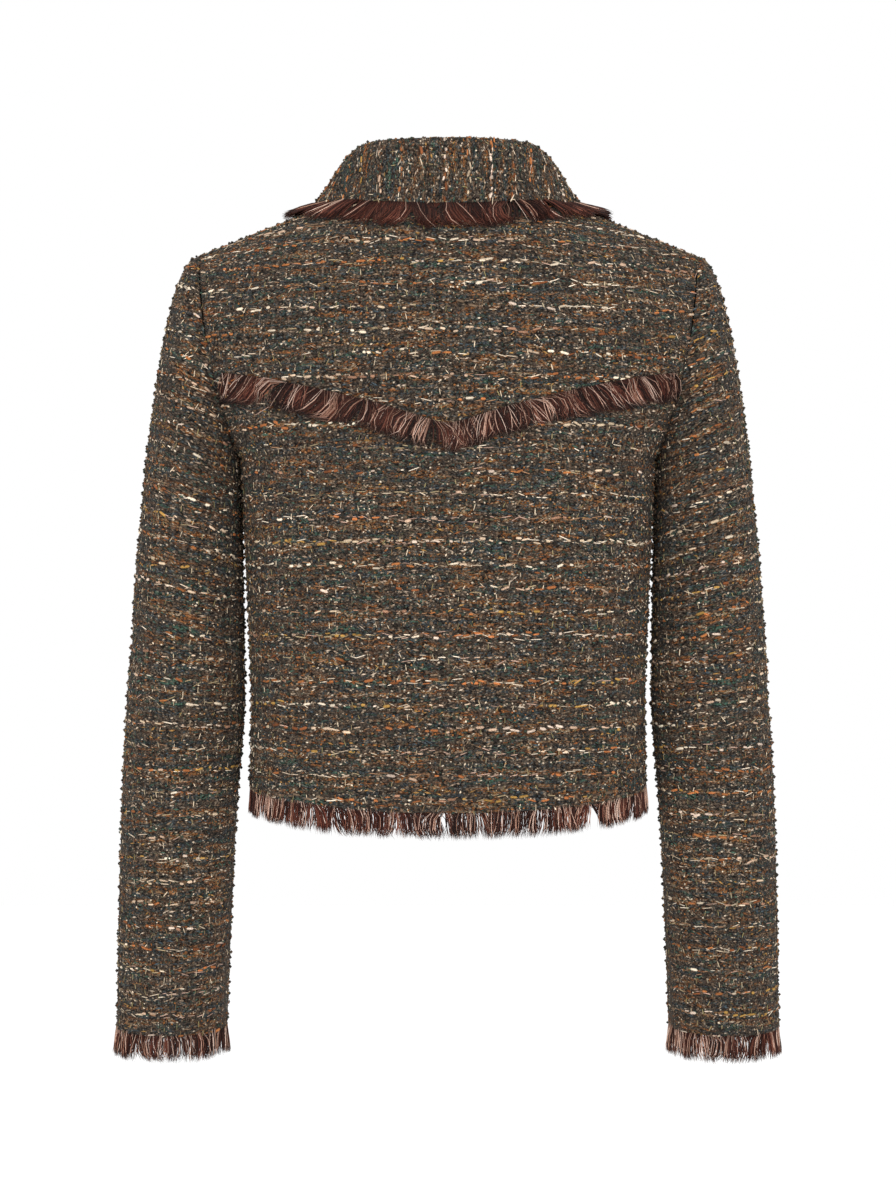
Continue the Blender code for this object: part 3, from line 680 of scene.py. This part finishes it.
# ---------------------------------------------------------------- collar
# The collar: one folded piece of the tweed, cut with the weft turned to run up and down.
# It stands up from the neckline, folds, and its fall lies on the shoulders.

STAND_BACK, STAND_FRONT, SEAT = 0.037, 0.011, 0.001
STAND_INSET, STAND_HOLLOW = 0.0020, 0.0032  # in from the neckline, at its foot and half way
FOLD_RADIUS, LIFT, ROLL, SHOULDER_ROLL = 0.005, 0.0046, 0.0075, 0.0015
COLLAR_EDGE = {
    # degrees from the centre back, u and v of the torso under the collar's edge
    "back": np.array([(0, 0.000, 1.905), (20, 0.150, 1.898), (45, 0.350, 1.845),
                      (70, 0.510, 1.885), (90, 0.592, 2.000)]),
    "front": np.array([(90, 0.592, 2.000), (110, 0.560, 1.800), (135, 0.445, 1.650),
                       (160, 0.295, 1.565), (180, 0.180, 1.525)]),
}


def torso_normal(side, u, v):
    """Outward unit normal of the torso's surface, by differences inside the panel."""
    e = 0.004
    across = torso(side, np.clip(u + e, 0, 1), v) - torso(side, np.clip(u - e, 0, 1), v)
    along = torso(side, u, np.clip(v + e, 0, 2)) - torso(side, u, np.clip(v - e, 0, 2))
    normal = np.cross(across, along)
    points = torso(side, u, v)
    middle = np.array([0, 0, -0.3])  # of the torso: a normal points away from it
    away = np.sum(normal * (points - middle), axis=-1, keepdims=True)
    normal = np.where(away < 0, -normal, normal)
    # On the shoulder line and at the centre a normal leans to neither side.
    normal[..., 1] = np.where(np.abs(points[..., 1]) < 1e-6, 0.0, normal[..., 1])
    normal[..., 0] = np.where(np.abs(points[..., 0]) < 1e-6, 0.0, normal[..., 0])
    return normal / np.linalg.norm(normal, axis=-1, keepdims=True)


def by_side(angle, made):
    """Join what a function makes of the back's and the front's angles round the neck."""
    halves = [made(side, turn) for side, turn in (("back", angle), ("front", math.pi - angle))]
    return np.where((angle <= math.pi / 2)[..., None], *halves)


def collar_edge(angle):
    """Foot of the collar's edge on the torso, its normal, and the way on over the torso."""
    def place(side):
        keys = COLLAR_EDGE[side]
        return [smooth(keys[:, 0], keys[:, k], np.degrees(angle)) for k in (1, 2)]

    foot = by_side(angle, lambda side, turn: torso(side, *place(side)))
    normal = by_side(angle, lambda side, turn: torso_normal(side, *place(side)))
    onward = np.cross(normal, np.gradient(foot, axis=0))
    return foot, normal, onward / np.linalg.norm(onward, axis=-1, keepdims=True)


def collar_skin(angle):
    """Collar's outer skin: a stand, an arc for the fold, and a cubic fall to its edge."""
    share = NECK_SHARE / (math.pi / 2)
    seat = by_side(angle, lambda side, turn: top_row(side, np.clip(turn * share, 0, NECK_SHARE)))
    depth = np.where(angle <= math.pi / 2, NECK_DEPTH["back"], NECK_DEPTH["front"])
    ahead = np.stack([np.sin(angle) / NECK_HALF_WIDTH, np.cos(angle) / depth, 0 * angle], axis=-1)
    ahead /= np.linalg.norm(ahead, axis=-1, keepdims=True)
    stand = STAND_FRONT + (STAND_BACK - STAND_FRONT) * (1 - (angle / math.pi) ** 3)

    def at(out, height):
        return seat + ahead * out + np.array([0, 0, 1.0]) * np.asarray(height)[..., None]

    rows = [at(-STAND_INSET, SEAT + 0 * stand), at(-STAND_HOLLOW, (stand - FOLD_RADIUS) / 2)]
    for turn in np.radians((180, 130, 85, 40)):
        rows.append(at(FOLD_RADIUS * (math.cos(turn) + 0.2),
                       stand - FOLD_RADIUS * (1 - math.sin(turn))))
    crest = rows[-1]
    foot, normal, onward = collar_edge(angle)
    edge = foot + normal * LIFT
    roll = (ROLL * np.sin(angle / 2) ** 2 + SHOULDER_ROLL * np.sin(angle) ** 2)[..., None]
    # The fall leaves the fold at the fold's last angle, and lands along the torso.
    pull = np.linalg.norm(edge - crest, axis=-1, keepdims=True) / 3
    bend = crest + (ahead * math.sin(turn) - np.array([0, 0, math.cos(turn)])) * pull
    land = edge - onward * pull
    for t in np.linspace(0, 1, 5)[1:]:
        near = (1 - t) ** 3 * crest + 3 * t * (1 - t) ** 2 * bend
        far = 3 * t * t * (1 - t) * land + t**3 * edge
        rows.append(near + far + normal * (roll * 4 * t * (1 - t)))
    return np.stack(rows)


neck_angle = np.linspace(0, math.radians(178), 18)  # just short of meeting at the front
skin = collar_skin(neck_angle)
skin = np.concatenate([mirrored(skin[:, :0:-1]), skin], axis=1)
skin = smooth(np.arange(10), skin, np.linspace(0, 9, 32))
collar_grid = smooth(np.arange(35), np.swapaxes(skin, 0, 1), np.linspace(0, 34, 180))
collar_across, collar_up = arc(collar_grid, 1), arc(collar_grid, 0)
collar_up = collar_up - collar_up[len(collar_up) // 2]
collar_flip = -1.0
collar_grid = creased(collar_grid, normals(collar_grid, collar_flip), collar_across, collar_up, (
    (0.075, 0.050, 30, 0.030, 0.010, 0.0010), (0.080, -0.070, -25, 0.030, 0.010, 0.0010),
    (0.070, -0.010, 5, 0.030, 0.014, -0.0008),
))
collar_cloth = (collar_grid, normals(collar_grid, collar_flip), collar_across, collar_up)
collar = add_cloth("collar_cloth", collar_grid, collar_across, collar_up, collar_flip)
collar_slubs = add_slubs("collar_slubs", collar_cloth, 41, (0.0042, 0.0038))
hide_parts("collar")

# ---------------------------------------------------------------- fringes
# The fringes: loose ends of brown and pinkish yarn, about 20 mm long, in uneven tufts.
# Sewn under the edges of collar, hem and cuffs, and over the back in a soft V.

FRINGE_YARN = yarn_material("fringe_yarn_viscose", 0.04)
BROWN = palette(("#46231b", "#2c1410", "#5b3025", "#3b1d17", "#75483a", "#39231d", "#240f0c",
                 "#66392c"))
PALE = palette(("#d3ac99", "#b28a76", "#e3c7b8", "#a87f6c", "#dab7a5"))

# Painted shade: strands are darkened towards the root, where they crowd together, and a touch
# brighter at the tip.
PAINTED_ROOT_SHADE = np.repeat([0.45, 0.9, 1.05, 1.05], [3, 3, 3, 1])[:, None]
STEPS = (0.0, 0.33, 0.68, 1.0)  # along a strand: three rings of three points, then its tip
TUFT_WIDTH, TUFT_BLUR = (0.005, 0.011), 0.0014
STRAY, RAISED = 0.0021, 0.0007  # how far strands leave their tuft, sideways and outwards
STRAND_RADIUS = (0.00022, 0.00040)


def add_strands(name, root, tip, out, per_metre, seed, lift, pale, lean, curl):
    """Fringe between a root line and a tip line: tapered three-sided strands, in tufts 5 to
    11 mm wide that each lean and bow their own way over their neighbours.

    lift is how far the lowest and highest strands stand off, pale the share of pale ones,
    lean how far tufts lean outwards from the middle and at random, and curl how far they bow.
    """
    rng = np.random.default_rng(seed)
    distance = np.concatenate([[0], np.cumsum(np.linalg.norm(np.diff(root, axis=0), axis=1))])
    count = int(per_metre * distance[-1])
    inset = 0.3 * lean[0]
    at = np.sort(rng.uniform(inset, distance[-1] - inset, count))

    def along(values, where):
        return np.stack([np.interp(where, distance, values[:, k]) for k in range(3)], axis=1)

    tufts = np.cumsum(rng.uniform(*TUFT_WIDTH, int(distance[-1] / TUFT_WIDTH[0]) + 3))
    which = np.searchsorted(tufts, at + rng.normal(0, TUFT_BLUR, count))
    reach = rng.uniform(0.96, 1.04, len(tufts))[which] * rng.uniform(0.90, 1.05, count)
    swept = lean[0] * np.clip(3 * (2 * at / distance[-1] - 1), -1, 1)
    slant = swept + rng.normal(0, lean[1], len(tufts))[which]
    fan = rng.uniform(-0.6, 0.25, len(tufts))[which]
    loose = slant + (tufts[which] - 0.004 - at) * fan + rng.normal(0, STRAY, count)
    start = along(root, at)
    end = along(tip, np.clip(at + loose, 0, distance[-1]))
    normal = along(out, at)
    normal /= np.linalg.norm(normal, axis=1, keepdims=True)
    fall = (end - start) * reach[:, None]
    side = np.cross(normal, fall)
    side /= np.linalg.norm(side, axis=1, keepdims=True)
    bend = rng.normal(0, curl, len(tufts))[which] + rng.normal(0, curl * 0.6, count)
    over = rng.uniform(0, 1, len(tufts))[which]
    height = lift[0] + (lift[1] - lift[0]) * (0.7 * over + 0.3 * rng.uniform(0, 1, count))
    raised = rng.normal(0, RAISED, count)
    light = rng.uniform(0, 1, count) < (pale * rng.uniform(0.3, 1.8, len(tufts)))[which]
    radius = rng.uniform(*STRAND_RADIUS, count) * np.where(light, 0.85, 1.0)
    rings = []
    for step in STEPS:
        # Each strand bows to its side and outwards, and the pale ones lie on top.
        middle = (start + fall * step
                  + side * (bend * 4 * step * (1 - step))[:, None]
                  + normal * (height * (0.5 + 0.5 * math.sin(3 * step))
                              + raised * step**2 + 0.0007 * light)[:, None])
        if step == STEPS[-1]:
            rings.append(middle[:, None])
            continue
        for turn in (0, 2.094, 4.189):
            round_it = normal * math.cos(turn) + side * math.sin(turn)
            rings.append((middle + round_it * (radius * (1 - 0.15 * step))[:, None])[:, None])
    points = np.concatenate(rings, axis=1)
    pattern = [face for ring in (0, 3) for k in range(3) for face in (
        (ring + k, ring + (k + 1) % 3, ring + 3 + (k + 1) % 3),
        (ring + k, ring + 3 + (k + 1) % 3, ring + 3 + k))]
    pattern += [(6 + k, 6 + (k + 1) % 3, 9) for k in range(3)]
    faces = np.array(pattern)[None] + (np.arange(count) * 10)[:, None, None]
    tone = np.where(light[:, None], PALE[rng.integers(0, len(PALE), count)],
                    BROWN[rng.integers(0, len(BROWN), count)])
    shade = np.clip(rng.normal(0.95, 0.30, len(tufts)), 0.4, 1.6)[which] * rng.uniform(
        0.65, 1.35, count)
    tone = np.clip(tone * np.where(light, 1.1, shade)[:, None], 0, 0.9)
    # Each strand's colour carries the painted shade at its root.
    return add_mesh(name, points.reshape(-1, 3), faces.reshape(-1, 3), FRINGE_YARN,
                    colour=(tone[:, None] * PAINTED_ROOT_SHADE[None]).reshape(-1, 3))


HANGING = {"lift": (-0.0016, 0.0014), "lean": (0.0, 0.0042), "curl": 0.0026}
TUCK, DOWN = 0.001, np.array([0, 0, -0.0198])  # in under an edge, and from it to the tips
UNDER_EDGE = np.array([0, 0, 0.002])  # up behind the cloth's edge

# Hem: from one centre front round the back to the other.
turn = np.linspace(0, 1, 60)
ring = np.concatenate([torso("back", turn, 0 * turn), torso("front", turn[::-1], 0 * turn)[1:]])
ring = np.concatenate([mirrored(ring[:0:-1]), ring])
away = ring * np.array([1, 1, 0])
away /= np.linalg.norm(away, axis=1, keepdims=True)
hem_fringe = add_strands("hem_fringe_strands", ring - away * TUCK + UNDER_EDGE, ring + DOWN,
                         away, per_metre=7800, seed=51, pale=0.095, **HANGING)
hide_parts("hem_fringe")

# Cuffs: all round, flaring a little.
for hand, sign, seed in (("left", 1, 52), ("right", -1, 53)):
    ring = sleeve(np.array([1.0]), np.linspace(-math.pi, math.pi, 60))[0]
    ring = ring * np.array([sign, 1, 1])
    away = ring - ring.mean(axis=0)
    away /= np.linalg.norm(away, axis=1, keepdims=True)
    add_strands(
        f"cuff_fringe_{hand}_strands", ring - away * TUCK + UNDER_EDGE,
        ring + DOWN * 1.05 + away * 0.0012, away, per_metre=7600, seed=seed, pale=0.085,
        **HANGING)
    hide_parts(f"cuff_fringe_{hand}")

# Collar: along the edge of the fall, lying on the back and the fronts, and standing out a
# little over the shoulders, within 22 degrees of them.
STAND_OUT, NEAR_SHOULDER = 0.0065, 22
ROOT_OFF, TIP_OFF = 0.0030, 0.0022  # how far its strands are off the torso at each end
UNDER_FALL, REACH, DROOP = 0.0015, 0.0215, 0.0030  # in under the edge, out from it, and down
foot, over, onward = collar_edge(neck_angle)
stand = STAND_OUT * np.exp(-(((np.degrees(neck_angle) - 90) / NEAR_SHOULDER) ** 2))[:, None]
lines = [np.concatenate([mirrored(grid[:0:-1]), grid]) for grid in
         (foot + over * (ROOT_OFF + stand * 0.2) - onward * UNDER_FALL,
          foot + over * (TIP_OFF + stand) + onward * REACH - np.array([0, 0, DROOP]), over)]
lines = [smooth(np.arange(35), line, np.linspace(0, 34, 240)) for line in lines]
collar_fringe = add_strands("collar_fringe_strands", *lines, per_metre=6000, seed=54,
                            lift=(-0.001, 0.0026), pale=0.030, lean=(0.012, 0.0055),
                            curl=0.0030)
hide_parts("collar_fringe")

# Yoke: a soft V from armhole to armhole, its strands slanting down and outwards.
# Its height is point + rise (r / reach)^0.65, where r = sqrt(x^2 + rounding^2).
YOKE_REACH, YOKE_CLEAR = 0.174, 0.1765  # half its width, and where the armhole begins
YOKE_POINT, YOKE_RISE, ROUNDING = -0.211, 0.051, 0.012
x = np.linspace(-YOKE_REACH, YOKE_REACH, 120)
middle = YOKE_POINT + YOKE_RISE * (
    np.hypot(x, ROUNDING) / np.hypot(YOKE_REACH, ROUNDING)) ** 0.65
edges = []
for high, slip in ((0.0110, 0.0), (-0.0115, 0.0020)):
    target = np.clip(x * (1 + slip / YOKE_REACH), -YOKE_CLEAR, YOKE_CLEAR)
    level = middle + high
    guess = np.interp(level, back_grid[:, centre, 2], np.arange(len(back_grid)))
    i, j, _ = find(back_grid[..., 2], back_grid[..., 0], level, target, guess,
                   centre + centre * x / 0.18)
    edges.append((sample(back_grid, i, j), sample(back_cloth[1], i, j)))
yoke_fringe = add_strands("yoke_fringe_strands", edges[0][0], edges[1][0], edges[0][1],
                          per_metre=9000, seed=55, lift=(0.0004, 0.0042), pale=0.075,
                          lean=(0.0140, 0.0065), curl=0.0042)
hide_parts("yoke_fringe")

# ---------------------------------------------------------------- stage
# A pale floor below the jacket, a white room, and soft light from the camera's side.

FLOOR_REACH, FLOOR_Z = 3, -1.02
floor_mesh = bpy.data.meshes.new("floor")
floor_mesh.from_pydata([(x * FLOOR_REACH, y * FLOOR_REACH, FLOOR_Z) for x, y in
                        ((-1, -1), (1, -1), (1, 1), (-1, 1))], [], [(0, 1, 2, 3)])
floor = bpy.data.objects.new("floor", floor_mesh)
floor_material, _, floor_shader = add_material("pale_floor_paint")
floor_shader.inputs["Base Color"].default_value = (0.98, 0.98, 0.98, 1)
floor_shader.inputs["Roughness"].default_value = 0.9
floor_mesh.materials.append(floor_material)
bpy.context.scene.collection.objects.link(floor)

world = bpy.data.worlds.new("studio")
world.use_nodes = True
background = world.node_tree.nodes["Background"]
background.inputs["Color"].default_value = (1, 1, 1, 1)
background.inputs["Strength"].default_value = 1.0
bpy.context.scene.world = world

LIT = np.array([0, 0, -0.33])  # the middle of the jacket, at which both lamps point
for name, where, size, power in (("key", (-0.7, 2.4, 0.9), 1.8, 46.0),
                                 ("fill", (0.9, 2.2, 0.1), 1.8, 22.0)):
    lamp = bpy.data.lights.new(name, "AREA")
    lamp.size, lamp.energy = size, power
    light = bpy.data.objects.new(name, lamp)
    light.location = where
    x, y, z = LIT - np.array(where)
    light.rotation_euler = (
        math.atan2(math.hypot(x, y), -z), 0, math.atan2(y, x) - math.pi / 2)
    bpy.context.scene.collection.objects.link(light)

# The camera: 1.6 m behind the jacket, level with its middle.
camera_data = bpy.data.cameras.new("camera")
camera_data.sensor_fit, camera_data.sensor_height = "VERTICAL", 36.0
camera_data.lens = 61.0
camera = bpy.data.objects.new("camera", camera_data)
camera.location = (0, 1.6, -0.32)
camera.rotation_euler = (math.pi / 2, 0, math.pi)
bpy.context.scene.collection.objects.link(camera)
bpy.context.scene.camera = camera
bpy.context.scene.view_settings.view_transform = "Standard"
